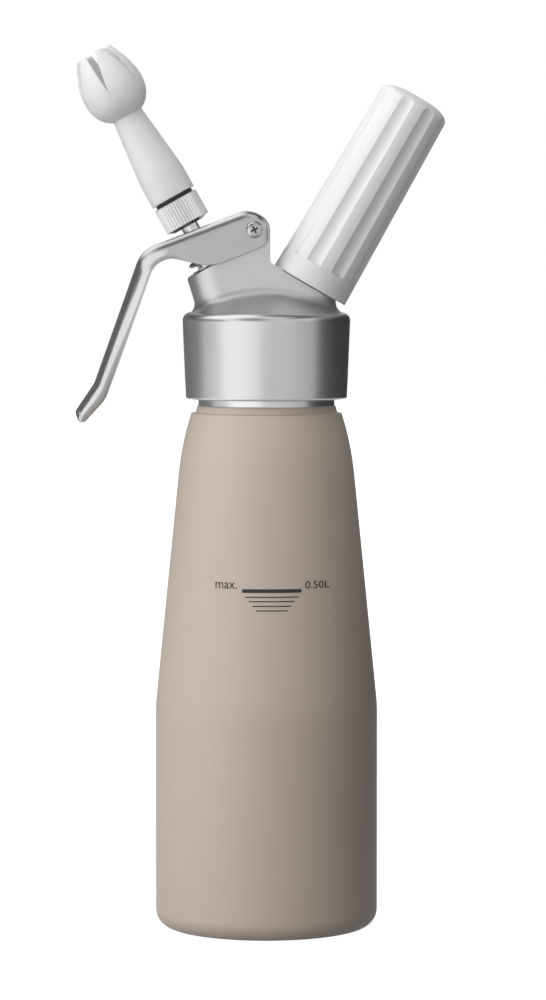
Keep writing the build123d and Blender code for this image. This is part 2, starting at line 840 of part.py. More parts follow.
with BuildPart() as check_valve_sleeve:
    with BuildSketch(holder_section):
        turned_box(
            check_stub_radius + press_clearance,
            check_stub_radius + check_sleeve_wall,
            check_sleeve_low,
            check_sleeve_high,
        )
    revolve(axis=holder_axis)
finish(check_valve_sleeve, "check_valve_sleeve")

# ---- gas charger: pressed bulb with a crimped neck and a round end ----
charger_low = seal_top + face_clearance
charger_high = charger_low + charger_length
charger_neck_top = charger_low + charger_neck_length
charger_body_low = charger_neck_top + charger_shoulder_length
charger_round_level = charger_high - charger_radius

with BuildPart() as gas_charger:
    with BuildSketch(holder_section):
        with BuildLine():
            Polyline(
                (0, charger_high),
                (0, charger_low + charger_pierced_depth),
                (charger_seal_bore, charger_low + charger_pierced_depth),
                (charger_seal_bore, charger_low),
                (charger_neck_radius, charger_low),
                (charger_neck_radius, charger_neck_top),
            )
            Spline(
                (charger_neck_radius, charger_neck_top),
                (charger_radius, charger_body_low),
                tangents=((0, 1), (0, 1)),
            )
            Line((charger_radius, charger_body_low), (charger_radius, charger_round_level))
            TangentArc(
                (charger_radius, charger_round_level), (0, charger_high), tangent=(0, 1)
            )
        make_face()
    revolve(axis=holder_axis)
finish(gas_charger, "gas_charger")

# ---- charger holder: fluted cap, its threaded insert and its end pad ----
holder_low = holder_seat_level + seat_clearance
pad_seat = charger_high + seat_clearance
cavity_high = pad_seat + pad_floor
holder_high = cavity_high + holder_end_wall
holder_round_level = holder_high - holder_end_drop
insert_bore = nipple_radius + thread_clearance
insert_radius = insert_bore + insert_wall
insert_low = holder_low + insert_recess
insert_high = insert_low + insert_length
relief_high = nipple_top + thread_clearance
cavity_radius = charger_radius + holder_cavity_gap
holder_draft = (holder_base_radius - holder_top_radius) / (holder_round_level - holder_low)
flute_radius = (holder_flute_width**2 / 4 + holder_flute_depth**2) / (2 * holder_flute_depth)
flute_low = holder_low + holder_flute_start
flute_high = holder_high + flute_radius
flute_low_axis = holder_base_radius - holder_draft * (flute_low - holder_low)
flute_high_axis = holder_base_radius - holder_draft * (flute_high - holder_low)
flute_stand_off = flute_radius - holder_flute_depth

with BuildPart() as charger_holder:
    with BuildSketch(holder_section):
        with BuildLine():
            Line((0, holder_high), (0, holder_low))
            Line((0, holder_low), (holder_base_radius, holder_low))
            Line((holder_base_radius, holder_low), (holder_top_radius, holder_round_level))
            EllipticalCenterArc(
                (holder_top_radius - holder_end_round, holder_round_level),
                holder_end_round,
                holder_end_drop,
                start_angle=0,
                arc_size=right_angle,
            )
            Line((holder_top_radius - holder_end_round, holder_high), (0, holder_high))
        make_face()
    revolve(axis=holder_axis)
    for flute in range(holder_flutes):
        turn = radians(holder_flute_turn + flute * 360 / holder_flutes)
        outward = Vector(
            *(cos(turn) * side + sin(turn) * back for side, back in zip(holder_side, (0, 1, 0)))
        )
        low = Vector(*along(holder_dir, flute_low)) + outward * (flute_low_axis + flute_stand_off)
        high = Vector(*along(holder_dir, flute_high)) + outward * (
            flute_high_axis + flute_stand_off + holder_flute_fade
        )
        run = high - low
        flute_section = Plane(low, x_dir=outward, z_dir=run)
        with BuildSketch(flute_section):
            Circle(flute_radius)
        extrude(amount=run.length, mode=Mode.SUBTRACT)
    with BuildSketch(holder_section):
        turned_box(0, insert_radius + press_clearance, holder_low, insert_high)
        turned_box(0, insert_bore, insert_high, relief_high)
        turned_box(0, cavity_radius, relief_high, cavity_high)
    revolve(axis=holder_axis, mode=Mode.SUBTRACT)
finish(charger_holder, "charger_holder")

with BuildPart() as holder_insert:
    with BuildSketch(holder_section):
        turned_box(insert_bore, insert_radius, insert_low, insert_high)
    revolve(axis=holder_axis)
finish(holder_insert, "holder_insert")

pad_low = pad_seat - pad_cup
with BuildPart() as holder_pad:
    with BuildSketch(holder_section):
        turned_box(0, charger_radius, pad_low, cavity_high)
    revolve(axis=holder_axis)
    with Locations(along(holder_dir, charger_round_level)):
        Sphere(charger_radius + seat_clearance, mode=Mode.SUBTRACT)
finish(holder_pad, "holder_pad")
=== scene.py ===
import json
import math

import bpy
from mathutils import Matrix, Vector


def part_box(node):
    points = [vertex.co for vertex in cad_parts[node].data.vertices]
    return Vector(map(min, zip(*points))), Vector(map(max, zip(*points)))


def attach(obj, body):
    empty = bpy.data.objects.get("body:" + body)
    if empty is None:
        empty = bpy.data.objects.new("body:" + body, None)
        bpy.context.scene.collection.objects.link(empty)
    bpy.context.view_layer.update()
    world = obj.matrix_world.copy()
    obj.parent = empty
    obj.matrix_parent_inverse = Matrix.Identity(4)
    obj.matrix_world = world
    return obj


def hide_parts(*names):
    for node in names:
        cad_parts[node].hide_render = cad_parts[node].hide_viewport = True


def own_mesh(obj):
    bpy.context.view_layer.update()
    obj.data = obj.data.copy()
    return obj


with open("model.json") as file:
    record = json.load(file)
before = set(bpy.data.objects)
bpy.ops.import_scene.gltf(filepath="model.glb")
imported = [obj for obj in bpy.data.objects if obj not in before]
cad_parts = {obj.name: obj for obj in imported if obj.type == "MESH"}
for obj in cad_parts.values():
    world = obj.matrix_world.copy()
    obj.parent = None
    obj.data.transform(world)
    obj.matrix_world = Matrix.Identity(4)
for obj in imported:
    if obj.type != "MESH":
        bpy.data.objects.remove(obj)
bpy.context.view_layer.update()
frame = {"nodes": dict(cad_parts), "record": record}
print("frame loaded:", len(frame["nodes"]), "nodes")

# camera: level with the head, a little above the middle of the object
viewing = {
    "place": (0.0023, -1.441, 0.2389), "aim": (0.0023, 0.0, 0.1506), "lens": 147.9, "sensor": 36.0,
    "farClip": 50}


def aimedAt(thing, target):
    # turns a lamp or camera so that its -Z axis points at the target
    direction = Vector(target) - thing.location
    thing.rotation_euler = direction.to_track_quat("-Z", "Y").to_euler()


cameraData = bpy.data.cameras.new("tableCamera")
cameraData.lens = viewing["lens"]
cameraData.sensor_width = viewing["sensor"]
cameraData.clip_end = viewing["farClip"]
tableCamera = bpy.data.objects.new("tableCamera", cameraData)
bpy.context.scene.collection.objects.link(tableCamera)
tableCamera.location = viewing["place"]
aimedAt(tableCamera, viewing["aim"])
bpy.context.scene.camera = tableCamera
bpy.context.scene.view_settings.view_transform = "Standard"
print("camera placed")


def addNode(tree, kind, **sockets):
    # a node with its input sockets set by name; a socket may be a value or another node's output
    node = tree.nodes.new(kind)
    for name, value in sockets.items():
        connect(tree, value, node.inputs[name.replace("_", " ")])
    return node


def connect(tree, value, socket):
    if isinstance(value, bpy.types.NodeSocket):
        tree.links.new(value, socket)
    else:
        socket.default_value = value


def calculate(tree, operation, first, second=0.0, third=None):
    node = tree.nodes.new("ShaderNodeMath")
    node.operation = operation
    connect(tree, first, node.inputs[0])
    connect(tree, second, node.inputs[1])
    if third is not None:
        connect(tree, third, node.inputs[2])
    return node.outputs[0]


def vectorMath(tree, operation, first, second=None):
    # a length or a dot product comes out at "Value"
    node = tree.nodes.new("ShaderNodeVectorMath")
    node.operation = operation
    connect(tree, first, node.inputs[0])
    if second is not None:
        connect(tree, second, node.inputs[1])
    return node.outputs


def blendColours(tree, share, first, second):
    node = tree.nodes.new("ShaderNodeMix")
    node.data_type = "RGBA"
    connect(tree, share, node.inputs["Factor"])
    connect(tree, first, node.inputs[6])
    connect(tree, second, node.inputs[7])
    return node.outputs[2]


def blendValues(tree, share, first, second):
    node = tree.nodes.new("ShaderNodeMix")
    connect(tree, share, node.inputs[0])
    connect(tree, first, node.inputs[2])
    connect(tree, second, node.inputs[3])
    return node.outputs[0]


def blendVectors(tree, share, first, second):
    node = tree.nodes.new("ShaderNodeMix")
    node.data_type = "VECTOR"
    connect(tree, share, node.inputs["Factor"])
    connect(tree, first, node.inputs[4])
    connect(tree, second, node.inputs[5])
    return node.outputs[1]


def keepShare(tree, value):
    # a mask stays between 0 and 1
    clamp = tree.nodes.new("ShaderNodeClamp")
    connect(tree, value, clamp.inputs[0])
    return clamp.outputs[0]


def rampUp(tree, value, start, width):
    # 0 below start, 1 from start + width upwards
    return keepShare(tree, calculate(tree, "MULTIPLY_ADD", value, 1 / width, -start / width))


def objectPlace(tree):
    return tree.nodes.new("ShaderNodeTexCoord").outputs["Object"]


def splitPlace(tree):
    return addNode(tree, "ShaderNodeSeparateXYZ", Vector=objectPlace(tree)).outputs


def grey(level):
    return (level, level, level)


def newGroup(name, inputs, outputs):
    tree = bpy.data.node_groups.new(name, "ShaderNodeTree")
    for socketName, value in inputs.items():
        kind = "NodeSocketVector" if isinstance(value, tuple) else "NodeSocketFloat"
        socket = tree.interface.new_socket(socketName, in_out="INPUT", socket_type=kind)
        socket.default_value = value
    for socketName, kind in outputs.items():
        tree.interface.new_socket(socketName, in_out="OUTPUT", socket_type=kind)
    return tree, tree.nodes.new("NodeGroupInput").outputs, tree.nodes.new("NodeGroupOutput").inputs


def useGroup(tree, group, **sockets):
    node = tree.nodes.new("ShaderNodeGroup")
    node.node_tree = group
    for name, value in sockets.items():
        connect(tree, value, node.inputs[name])
    return node.outputs


# fine grain: the even tooth of a blasted, cast or moulded skin, with slow patches of handling
grainTree, grainIn, grainOut = newGroup(
    "fineGrain",
    {"Scale": 2500.0, "PatchScale": 60.0},
    {"Height": "NodeSocketFloat", "Patch": "NodeSocketFloat"},
)
grainPlace = objectPlace(grainTree)
# outlet, scale, detail and roughness of each noise
grainNoises = (("Height", "Scale", 3.0, 0.6), ("Patch", "PatchScale", 4.0, 0.55))
for outlet, scale, detail, roughness in grainNoises:
    grainNoise = addNode(
        grainTree, "ShaderNodeTexNoise", Vector=grainPlace, Scale=grainIn[scale],
        Detail=detail, Roughness=roughness)
    connect(grainTree, grainNoise.outputs[0], grainOut[outlet])

# turned lines: the rings that a cutting tool leaves square to an axis
lineTree, lineIn, lineOut = newGroup(
    "turnedLines",
    {"Axis": (0.0, 0.0, 1.0), "Scale": 3000.0, "Wander": 0.00002},
    {"Height": "NodeSocketFloat"},
)
turning = {"driftScale": 90.0, "driftDetail": 2.0, "detail": 4.0}
linePlace = objectPlace(lineTree)
lineAlong = vectorMath(lineTree, "DOT_PRODUCT", linePlace, lineIn["Axis"])["Value"]
lineDrift = addNode(
    lineTree, "ShaderNodeTexNoise", Vector=linePlace, Scale=turning["driftScale"],
    Detail=turning["driftDetail"])
lineNoise = lineTree.nodes.new("ShaderNodeTexNoise")
lineNoise.noise_dimensions = "1D"
lineShift = calculate(lineTree, "MULTIPLY_ADD", lineDrift.outputs[0], lineIn["Wander"], lineAlong)
connect(lineTree, lineShift, lineNoise.inputs["W"])
connect(lineTree, lineIn["Scale"], lineNoise.inputs["Scale"])
lineNoise.inputs["Detail"].default_value = turning["detail"]
connect(lineTree, lineNoise.outputs[0], lineOut["Height"])

# edge wear: where the surface turns a corner, and a normal that rounds it
wearTree, wearIn, wearOut = newGroup(
    "edgeWear",
    {"Radius": 0.0005, "Amount": 1.0},
    {"Mask": "NodeSocketFloat", "Normal": "NodeSocketVector"},
)
wearBevel = addNode(wearTree, "ShaderNodeBevel", Radius=wearIn["Radius"])
wearBevel.samples = 12
flatNormal = wearTree.nodes.new("ShaderNodeNewGeometry").outputs["Normal"]
wearAgree = vectorMath(wearTree, "DOT_PRODUCT", wearBevel.outputs[0], flatNormal)["Value"]
wearTurn = calculate(wearTree, "SUBTRACT", 1.0, wearAgree)
wearMask = calculate(wearTree, "MULTIPLY", wearTurn, wearIn["Amount"])
connect(wearTree, keepShare(wearTree, wearMask), wearOut["Mask"])
connect(wearTree, wearBevel.outputs[0], wearOut["Normal"])
print("shared effects built")


def newMaterial(name):
    material = bpy.data.materials.new(name)
    material.use_nodes = True
    return material, material.node_tree, material.node_tree.nodes["Principled BSDF"]


def roughen(tree, height, strength, distance, normal):
    # the normal with a fine relief on it
    bump = addNode(
        tree, "ShaderNodeBump", Height=height, Strength=strength, Distance=distance, Normal=normal)
    return bump.outputs[0]


metalSkin = {
    "patchScale": 60.0, "wear": 3.0, "wornShare": 0.6, "coarseFade": 0.002, "grainDepth": 0.00003,
    "lineDepth": 0.00002}


def metalFinish(name, finish):
    # a metal with grain, optional turned lines, and brighter, smoother corners
    material, tree, shader = newMaterial(name)
    shader.inputs["Metallic"].default_value = 1.0
    grain = useGroup(tree, grainTree, Scale=finish["grainScale"], PatchScale=metalSkin["patchScale"])
    wear = useGroup(tree, wearTree, Radius=finish["edge"], Amount=metalSkin["wear"])
    tone = blendColours(tree, grain["Patch"], (*finish["dark"], 1), (*finish["light"], 1))
    worn = blendColours(tree, wear["Mask"], tone, (*finish["worn"], 1))
    # an optional mask darkens the colour there to a painted shade, as in the screw's recess
    if finish.get("paintedShade"):
        worn = blendColours(tree, finish["paintedShade"](tree), worn, (*finish["shadeTone"], 1))
    connect(tree, worn, shader.inputs["Base Color"])
    rough = calculate(
        tree, "MULTIPLY_ADD", grain["Patch"], finish["spread"], finish["rough"] - finish["spread"] / 2)
    if finish.get("coarse"):
        # above this height the skin is left as it was blasted, coarser than the turned part below
        start, extra = finish["coarse"]
        above = rampUp(tree, splitPlace(tree)[2], start, metalSkin["coarseFade"])
        rough = calculate(tree, "MULTIPLY_ADD", above, extra, rough)
    rough = blendValues(tree, wear["Mask"], rough, finish["rough"] * metalSkin["wornShare"])
    connect(tree, rough, shader.inputs["Roughness"])
    normal = wear["Normal"]
    if finish.get("where"):
        # the same corner rounded wider, where the mask allows
        wide = useGroup(tree, wearTree, Radius=finish["round"], Amount=1.0)
        mixed = blendVectors(tree, finish["where"](tree), normal, wide["Normal"])
        normal = vectorMath(tree, "NORMALIZE", mixed)[0]
    if finish.get("lean"):
        leaning = vectorMath(tree, "ADD", normal, finish["lean"](tree))[0]
        normal = vectorMath(tree, "NORMALIZE", leaning)[0]
    if finish.get("lines"):
        rings = useGroup(tree, lineTree, Axis=finish["axis"], Scale=finish["lineScale"])
        normal = roughen(tree, rings["Height"], finish["lines"], metalSkin["lineDepth"], normal)
    normal = roughen(tree, grain["Height"], finish["grain"], metalSkin["grainDepth"], normal)
    connect(tree, normal, shader.inputs["Normal"])
    return material


mm = 0.001
leanValve = math.radians(29.3)
leanHolder = math.radians(30.0)
valveWay = Vector((-math.sin(leanValve), 0, math.cos(leanValve)))
holderWay = Vector((math.sin(leanHolder), 0, math.cos(leanHolder)))
axesMeet = Vector((-0.3 * mm, 0, 199.25 * mm))
pivot = (-4.1 * mm, 0, 245.35 * mm)

satinAluminium = metalFinish("satinAluminium", {
    "dark": grey(0.56), "light": grey(0.64), "worn": grey(0.78), "rough": 0.34, "spread": 0.06,
    "edge": 0.0006, "grainScale": 2600.0, "grain": 0.35})
# the lever is cast with soft upper corners and a soft handle, and a crisp belly
# a place or way here is a pair of X and Z
softLever = {
    "yokeTilt": math.radians(20.9), "yokeTop": (-0.0435, 0.2383), "depth": 0.009, "bend": 0.034,
    "fade": 0.004, "end": 0.0045, "round": 0.0028, "handleTop": 0.2345, "knee": (-0.0601, 0.1920),
    "kneeFade": 0.001, "handleWay": (-0.9412, 0.3375), "tipWay": (-0.826, 0.564),
    "tipLean": (-0.97, 0.2), "lean": 0.42, "leanFull": 0.0019, "leanFade": 0.0022}


def handleShare(tree, xyz):
    downwards = calculate(tree, "MULTIPLY", xyz[2], -1.0)
    return rampUp(tree, downwards, -softLever["handleTop"], softLever["fade"])


def handleLean(tree):
    # the outer half of the handle is rounder than its solid, so its normal leans outwards
    xyz = splitPlace(tree)
    kneeX, kneeZ = softLever["knee"]
    depths = []
    for wayX, wayZ in (softLever["handleWay"], softLever["tipWay"]):
        start = kneeX * wayX + kneeZ * wayZ
        across = calculate(tree, "MULTIPLY_ADD", xyz[0], -wayX, start)
        depths.append(calculate(tree, "MULTIPLY_ADD", xyz[2], -wayZ, across))
    fade = softLever["kneeFade"]
    onHandle = rampUp(tree, calculate(tree, "SUBTRACT", *depths), -fade / 2, fade)
    deepest = calculate(tree, "MAXIMUM", *depths)
    inner = rampUp(tree, deepest, softLever["leanFull"], softLever["leanFade"])
    outer = calculate(tree, "SUBTRACT", 1.0, inner)
    outer = calculate(tree, "MULTIPLY", outer, handleShare(tree, xyz))
    push = calculate(tree, "MULTIPLY", outer, softLever["lean"])
    (tipX, tipZ), (handleX, handleZ) = softLever["tipLean"], softLever["handleWay"]
    way = blendVectors(tree, onHandle, (tipX, 0, tipZ), (handleX, 0, handleZ))
    lean = tree.nodes.new("ShaderNodeVectorMath")
    lean.operation = "SCALE"
    connect(tree, way, lean.inputs[0])
    connect(tree, push, lean.inputs["Scale"])
    return lean.outputs[0]


def softCorners(tree):
    # the yoke's upper corners and the bend
    xyz = splitPlace(tree)
    tilt, (topX, topZ) = softLever["yokeTilt"], softLever["yokeTop"]
    start = topX * math.sin(tilt) - topZ * math.cos(tilt)
    across = calculate(tree, "MULTIPLY_ADD", xyz[0], -math.sin(tilt), start)
    depth = calculate(tree, "MULTIPLY_ADD", xyz[2], math.cos(tilt), across)
    upper = rampUp(tree, depth, -softLever["depth"], softLever["fade"])
    leftwards = calculate(tree, "MULTIPLY", xyz[0], -1.0)
    clearOfEnd = rampUp(tree, leftwards, softLever["end"], softLever["fade"])
    pastBend = rampUp(tree, leftwards, softLever["bend"], softLever["fade"])
    both = calculate(tree, "MAXIMUM", calculate(tree, "MULTIPLY", upper, clearOfEnd), pastBend)
    return calculate(tree, "MULTIPLY", both, calculate(tree, "SUBTRACT", 1.0, handleShare(tree, xyz)))


leverAluminium = metalFinish("leverAluminium", {
    "dark": grey(0.46), "light": grey(0.53), "worn": grey(0.62), "rough": 0.23, "spread": 0.06,
    "edge": 0.0006, "grainScale": 2600.0, "grain": 0.25, "round": softLever["round"],
    "where": softCorners, "lean": handleLean})
collarAluminium = metalFinish("collarAluminium", {
    "dark": grey(0.58), "light": grey(0.64), "worn": grey(0.78), "rough": 0.32, "spread": 0.05,
    "edge": 0.0006, "grainScale": 2600.0, "grain": 0.5, "lines": 0.6, "lineScale": 2200.0,
    "axis": (0, 0, 1), "coarse": (0.2160, 0.12)})
gripMetal = metalFinish("gripMetal", {
    "dark": grey(0.65), "light": grey(0.71), "worn": grey(0.84), "rough": 0.24, "spread": 0.06,
    "edge": 0.0002, "grainScale": 3000.0, "grain": 0.15})
turnedSteel = metalFinish("turnedSteel", {
    "dark": (0.60, 0.60, 0.61), "light": (0.68, 0.68, 0.69), "worn": grey(0.80), "rough": 0.2,
    "spread": 0.08, "edge": 0.0002, "grainScale": 3000.0, "grain": 0.1})
# painted shade: the recess of the pivot screw is darkened in its colour, standing in for the shade that
# falls in it
recess = {"reach": 1.8 * mm, "floor": 0.06 * mm, "fade": 0.12 * mm}
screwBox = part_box("pivot_screw")
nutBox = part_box("pivot_nut")


# the mask of the painted shade: the sunk cross recess of the screw head
def recessPaintedShade(tree):
    headFace = (pivot[0], screwBox[0][1], pivot[2])
    offset = vectorMath(tree, "SUBTRACT", objectPlace(tree), headFace)[0]
    flat = vectorMath(tree, "MULTIPLY", offset, (1, 0, 1))[0]
    reach = vectorMath(tree, "LENGTH", flat)["Value"]
    depth = addNode(tree, "ShaderNodeSeparateXYZ", Vector=offset).outputs[1]
    sunk = rampUp(tree, depth, recess["floor"], recess["fade"])
    outside = rampUp(tree, reach, recess["reach"], recess["fade"])
    return calculate(tree, "MULTIPLY", sunk, calculate(tree, "SUBTRACT", 1.0, outside))


screwSteel = metalFinish("screwSteel", {
    "dark": (0.46, 0.46, 0.47), "light": (0.54, 0.54, 0.55), "worn": grey(0.7), "rough": 0.2,
    "spread": 0.06, "edge": 0.0002, "grainScale": 3000.0, "grain": 0.1, "paintedShade": recessPaintedShade,
    "shadeTone": grey(0.06)})
springSteel = metalFinish("springSteel", {
    "dark": (0.28, 0.28, 0.29), "light": (0.38, 0.38, 0.39), "worn": grey(0.5), "rough": 0.3,
    "spread": 0.08, "edge": 0.0001, "grainScale": 3000.0, "grain": 0.1})
chargerSteel = metalFinish("chargerSteel", {
    "dark": (0.52, 0.53, 0.54), "light": (0.60, 0.61, 0.62), "worn": grey(0.7), "rough": 0.28,
    "spread": 0.08, "edge": 0.0003, "grainScale": 1500.0, "grain": 0.2})
turnedBrass = metalFinish("turnedBrass", {
    "dark": (0.66, 0.50, 0.24), "light": (0.76, 0.60, 0.32), "worn": (0.85, 0.7, 0.42),
    "rough": 0.25, "spread": 0.08, "edge": 0.0002, "grainScale": 3000.0, "grain": 0.1})

# taupe lacquer outside the bottle, bare aluminium on the neck and inside
lacquer = {
    "top": 0.18382, "deep": (0.545, 0.462, 0.395), "pale": (0.585, 0.502, 0.435), "rough": 0.48,
    "bare": grey(0.66), "bareRough": 0.3, "underside": -0.5, "grainScale": 900.0,
    "patchScale": 35.0, "edge": 0.0005, "grain": 0.12, "grainDepth": 0.00004}
taupeLacquer, lacquerTree, lacquerShader = newMaterial("taupeLacquer")
lacquerPlace = lacquerTree.nodes.new("ShaderNodeTexCoord")
lacquerXyz, lacquerTurn = (
    addNode(lacquerTree, "ShaderNodeSeparateXYZ", Vector=lacquerPlace.outputs[name]).outputs
    for name in ("Object", "Normal"))
acrossX = calculate(lacquerTree, "MULTIPLY", lacquerXyz[0], lacquerTurn[0])
outward = calculate(lacquerTree, "MULTIPLY_ADD", lacquerXyz[1], lacquerTurn[1], acrossX)
facesOut = calculate(lacquerTree, "GREATER_THAN", outward, 0.0)
facesDown = calculate(lacquerTree, "LESS_THAN", lacquerTurn[2], lacquer["underside"])
outside = calculate(lacquerTree, "MAXIMUM", facesOut, facesDown)
underLip = calculate(lacquerTree, "LESS_THAN", lacquerXyz[2], lacquer["top"])
painted = calculate(lacquerTree, "MULTIPLY", outside, underLip)
lacquerGrain = useGroup(
    lacquerTree, grainTree, Scale=lacquer["grainScale"], PatchScale=lacquer["patchScale"])
lacquerTone = blendColours(
    lacquerTree, lacquerGrain["Patch"], (*lacquer["deep"], 1), (*lacquer["pale"], 1))
lacquerTone = blendColours(lacquerTree, painted, (*lacquer["bare"], 1), lacquerTone)
lacquerRough = blendValues(lacquerTree, painted, lacquer["bareRough"], lacquer["rough"])
lacquerEdge = useGroup(lacquerTree, wearTree, Radius=lacquer["edge"], Amount=1.0)
lacquerRelief = roughen(
    lacquerTree, lacquerGrain["Height"], lacquer["grain"], lacquer["grainDepth"], lacquerEdge["Normal"])
connect(lacquerTree, lacquerTone, lacquerShader.inputs["Base Color"])
connect(lacquerTree, calculate(lacquerTree, "SUBTRACT", 1.0, painted), lacquerShader.inputs["Metallic"])
connect(lacquerTree, lacquerRough, lacquerShader.inputs["Roughness"])
connect(lacquerTree, lacquerRelief, lacquerShader.inputs["Normal"])


mouldedSkin = {
    "patchScale": 50.0, "spread": 0.08, "grainDepth": 0.00003, "softRadius": grey(0.8),
    "softReach": 0.004}


def mouldedFinish(name, finish):
    # plastic or rubber with a moulded skin
    material, tree, shader = newMaterial(name)
    grain = useGroup(tree, grainTree, Scale=finish["grainScale"], PatchScale=mouldedSkin["patchScale"])
    tone = blendColours(tree, grain["Patch"], (*finish["deep"], 1), (*finish["pale"], 1))
    connect(tree, tone, shader.inputs["Base Color"])
    spread = mouldedSkin["spread"]
    rough = calculate(tree, "MULTIPLY_ADD", grain["Patch"], spread, finish["rough"] - spread / 2)
    connect(tree, rough, shader.inputs["Roughness"])
    wear = useGroup(tree, wearTree, Radius=finish["edge"], Amount=1.0)
    relief = roughen(tree, grain["Height"], finish["grain"], mouldedSkin["grainDepth"], wear["Normal"])
    connect(tree, relief, shader.inputs["Normal"])
    if finish.get("soft"):
        shader.inputs["Subsurface Weight"].default_value = finish["soft"]
        shader.inputs["Subsurface Radius"].default_value = mouldedSkin["softRadius"]
        shader.inputs["Subsurface Scale"].default_value = mouldedSkin["softReach"]
    return material


whitePlastic = mouldedFinish("whitePlastic", {
    "deep": grey(0.845), "pale": grey(0.885), "rough": 0.42, "edge": 0.0005, "grainScale": 1800.0,
    "grain": 0.12, "soft": 0.6})
blackRubber = mouldedFinish("blackRubber", {
    "deep": grey(0.025), "pale": grey(0.04), "rough": 0.55, "edge": 0.0003, "grainScale": 1200.0,
    "grain": 0.2})
greySilicone = mouldedFinish("greySilicone", {
    "deep": (0.55, 0.55, 0.53), "pale": (0.62, 0.62, 0.60), "rough": 0.45, "edge": 0.0003,
    "grainScale": 1200.0, "grain": 0.15, "soft": 0.3})
printInk = mouldedFinish("printInk", {
    "deep": (0.014, 0.012, 0.011), "pale": (0.028, 0.024, 0.022), "rough": 0.62, "edge": 0.0001,
    "grainScale": 2500.0, "grain": 0.1})
bareAluminium = metalFinish("bareAluminium", {
    "dark": grey(0.62), "light": grey(0.69), "worn": grey(0.78), "rough": 0.2, "spread": 0.06,
    "edge": 0.0003, "grainScale": 2600.0, "grain": 0.2})
print("finishes built")

finishOfSlot = {
    "lacquered_bottle": taupeLacquer, "satin_aluminium": satinAluminium, "grip_metal": gripMetal,
    "steel": turnedSteel, "spring_steel": springSteel, "charger_steel": chargerSteel,
    "brass": turnedBrass, "white_plastic": whitePlastic, "black_rubber": blackRubber,
    "silicone": greySilicone}
for part in frame["record"]["subparts"]:
    node = frame["nodes"][part["node"]]
    node.data.materials.clear()
    node.data.materials.append(finishOfSlot[part["material_slot"]])
frame["nodes"]["head_casting"].data.materials[0] = collarAluminium
frame["nodes"]["lever"].data.materials[0] = leverAluminium
print("finishes laid on the frame's own parts")


def startPiece():
    # object mode with nothing selected, so that an operator acts on the new piece alone
    if bpy.context.object and bpy.context.object.mode != "OBJECT":
        bpy.ops.object.mode_set(mode="OBJECT")
    bpy.ops.object.select_all(action="DESELECT")


def freezePlace():
    bpy.ops.object.transform_apply(location=True, rotation=True, scale=True)


def addCylinder(name, sides, radius, height, middle=0.0):
    startPiece()
    bpy.ops.mesh.primitive_cylinder_add(
        vertices=sides, radius=radius, depth=height, location=(0, 0, middle))
    freezePlace()
    bpy.context.object.name = name
    return bpy.context.object


alongAxis = 0.9  # a unit way with more than this on an axis runs along it, to about 25 degrees


def looksUp(normal):
    return normal.z > alongAxis


def looksDown(normal):
    return normal.z < -alongAxis


def pickFaces(piece, wanted):
    # selects in edit mode the faces whose normal is wanted
    bpy.ops.object.mode_set(mode="EDIT")
    bpy.ops.mesh.select_mode(type="FACE")
    bpy.ops.mesh.select_all(action="DESELECT")
    bpy.ops.object.mode_set(mode="OBJECT")
    for face in piece.data.polygons:
        face.select = wanted(face.normal)
    bpy.ops.object.mode_set(mode="EDIT")


def applyAll(piece):
    startPiece()
    piece.select_set(True)
    bpy.context.view_layer.objects.active = piece
    for modifier in list(piece.modifiers):
        bpy.ops.object.modifier_apply(modifier=modifier.name)


smoothBelow = math.radians(35)


def layDown(piece, place, material, body, stands=None):
    # puts a piece that was modelled upright at the origin in its place, and hands it to the frame
    startPiece()
    piece.select_set(True)
    bpy.context.view_layer.objects.active = piece
    bpy.ops.object.mode_set(mode="EDIT")
    bpy.ops.mesh.select_all(action="SELECT")
    bpy.ops.mesh.normals_make_consistent(inside=False)
    bpy.ops.object.mode_set(mode="OBJECT")
    piece.matrix_world = place
    freezePlace()
    bpy.ops.object.shade_smooth_by_angle(angle=smoothBelow)
    piece.data.materials.clear()
    piece.data.materials.append(material)
    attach(piece, body)
    if stands:
        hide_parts(stands)


def standAt(origin, way, turn=0.0):
    # the place whose Z runs along way; at turn 0 its -Y looks to the front
    upright = Vector(way).normalized()
    back = Vector((0, 1, 0)) if abs(upright.y) < alongAxis else Vector((0, 0, 1))
    side = back.cross(upright).normalized()
    ahead = upright.cross(side)
    place = Matrix((side, ahead, upright)).transposed().to_4x4()
    place.translation = origin
    return place @ Matrix.Rotation(turn, 4, "Z")


def cutWith(piece, cutter, operation="DIFFERENCE"):
    cut = piece.modifiers.new("cut", "BOOLEAN")
    cut.operation = operation
    cut.solver = "EXACT"
    cut.object = cutter
    applyAll(piece)
    bpy.data.objects.remove(cutter, do_unlink=True)


def sweepHelix(name, size):
    # a rib or wire along a helix about Z; a thread's ends sink into the wall, a wire's are left blunt
    startPiece()
    bpy.ops.mesh.primitive_circle_add(
        vertices=size["sides"], radius=1.0, rotation=(math.pi / 2, 0, 0),
        location=(size["radius"], 0, size["low"]))
    piece = bpy.context.object
    piece.name = name
    piece.scale = (size["radial"], size["axial"], 1)
    freezePlace()
    turns = size["rise"] / size["pitch"]
    screw = piece.modifiers.new("screw", "SCREW")
    screw.axis = "Z"
    screw.angle = size.get("hand", 1) * turns * 2 * math.pi
    screw.screw_offset = size["rise"]
    screw.steps = screw.render_steps = int(turns * size["steps"])
    screw.use_merge_vertices = False
    applyAll(piece)
    bpy.ops.object.mode_set(mode="EDIT")
    bpy.ops.mesh.select_mode(type="VERT")
    bpy.ops.mesh.select_all(action="DESELECT")
    bpy.ops.mesh.select_non_manifold()
    if size.get("sink"):
        share = 1 + size["sink"] / size["radius"]
        bpy.ops.transform.resize(value=(share, share, 1), center_override=(0, 0, 0))
    bpy.ops.mesh.fill_holes(sides=0)
    bpy.ops.object.mode_set(mode="OBJECT")
    return piece


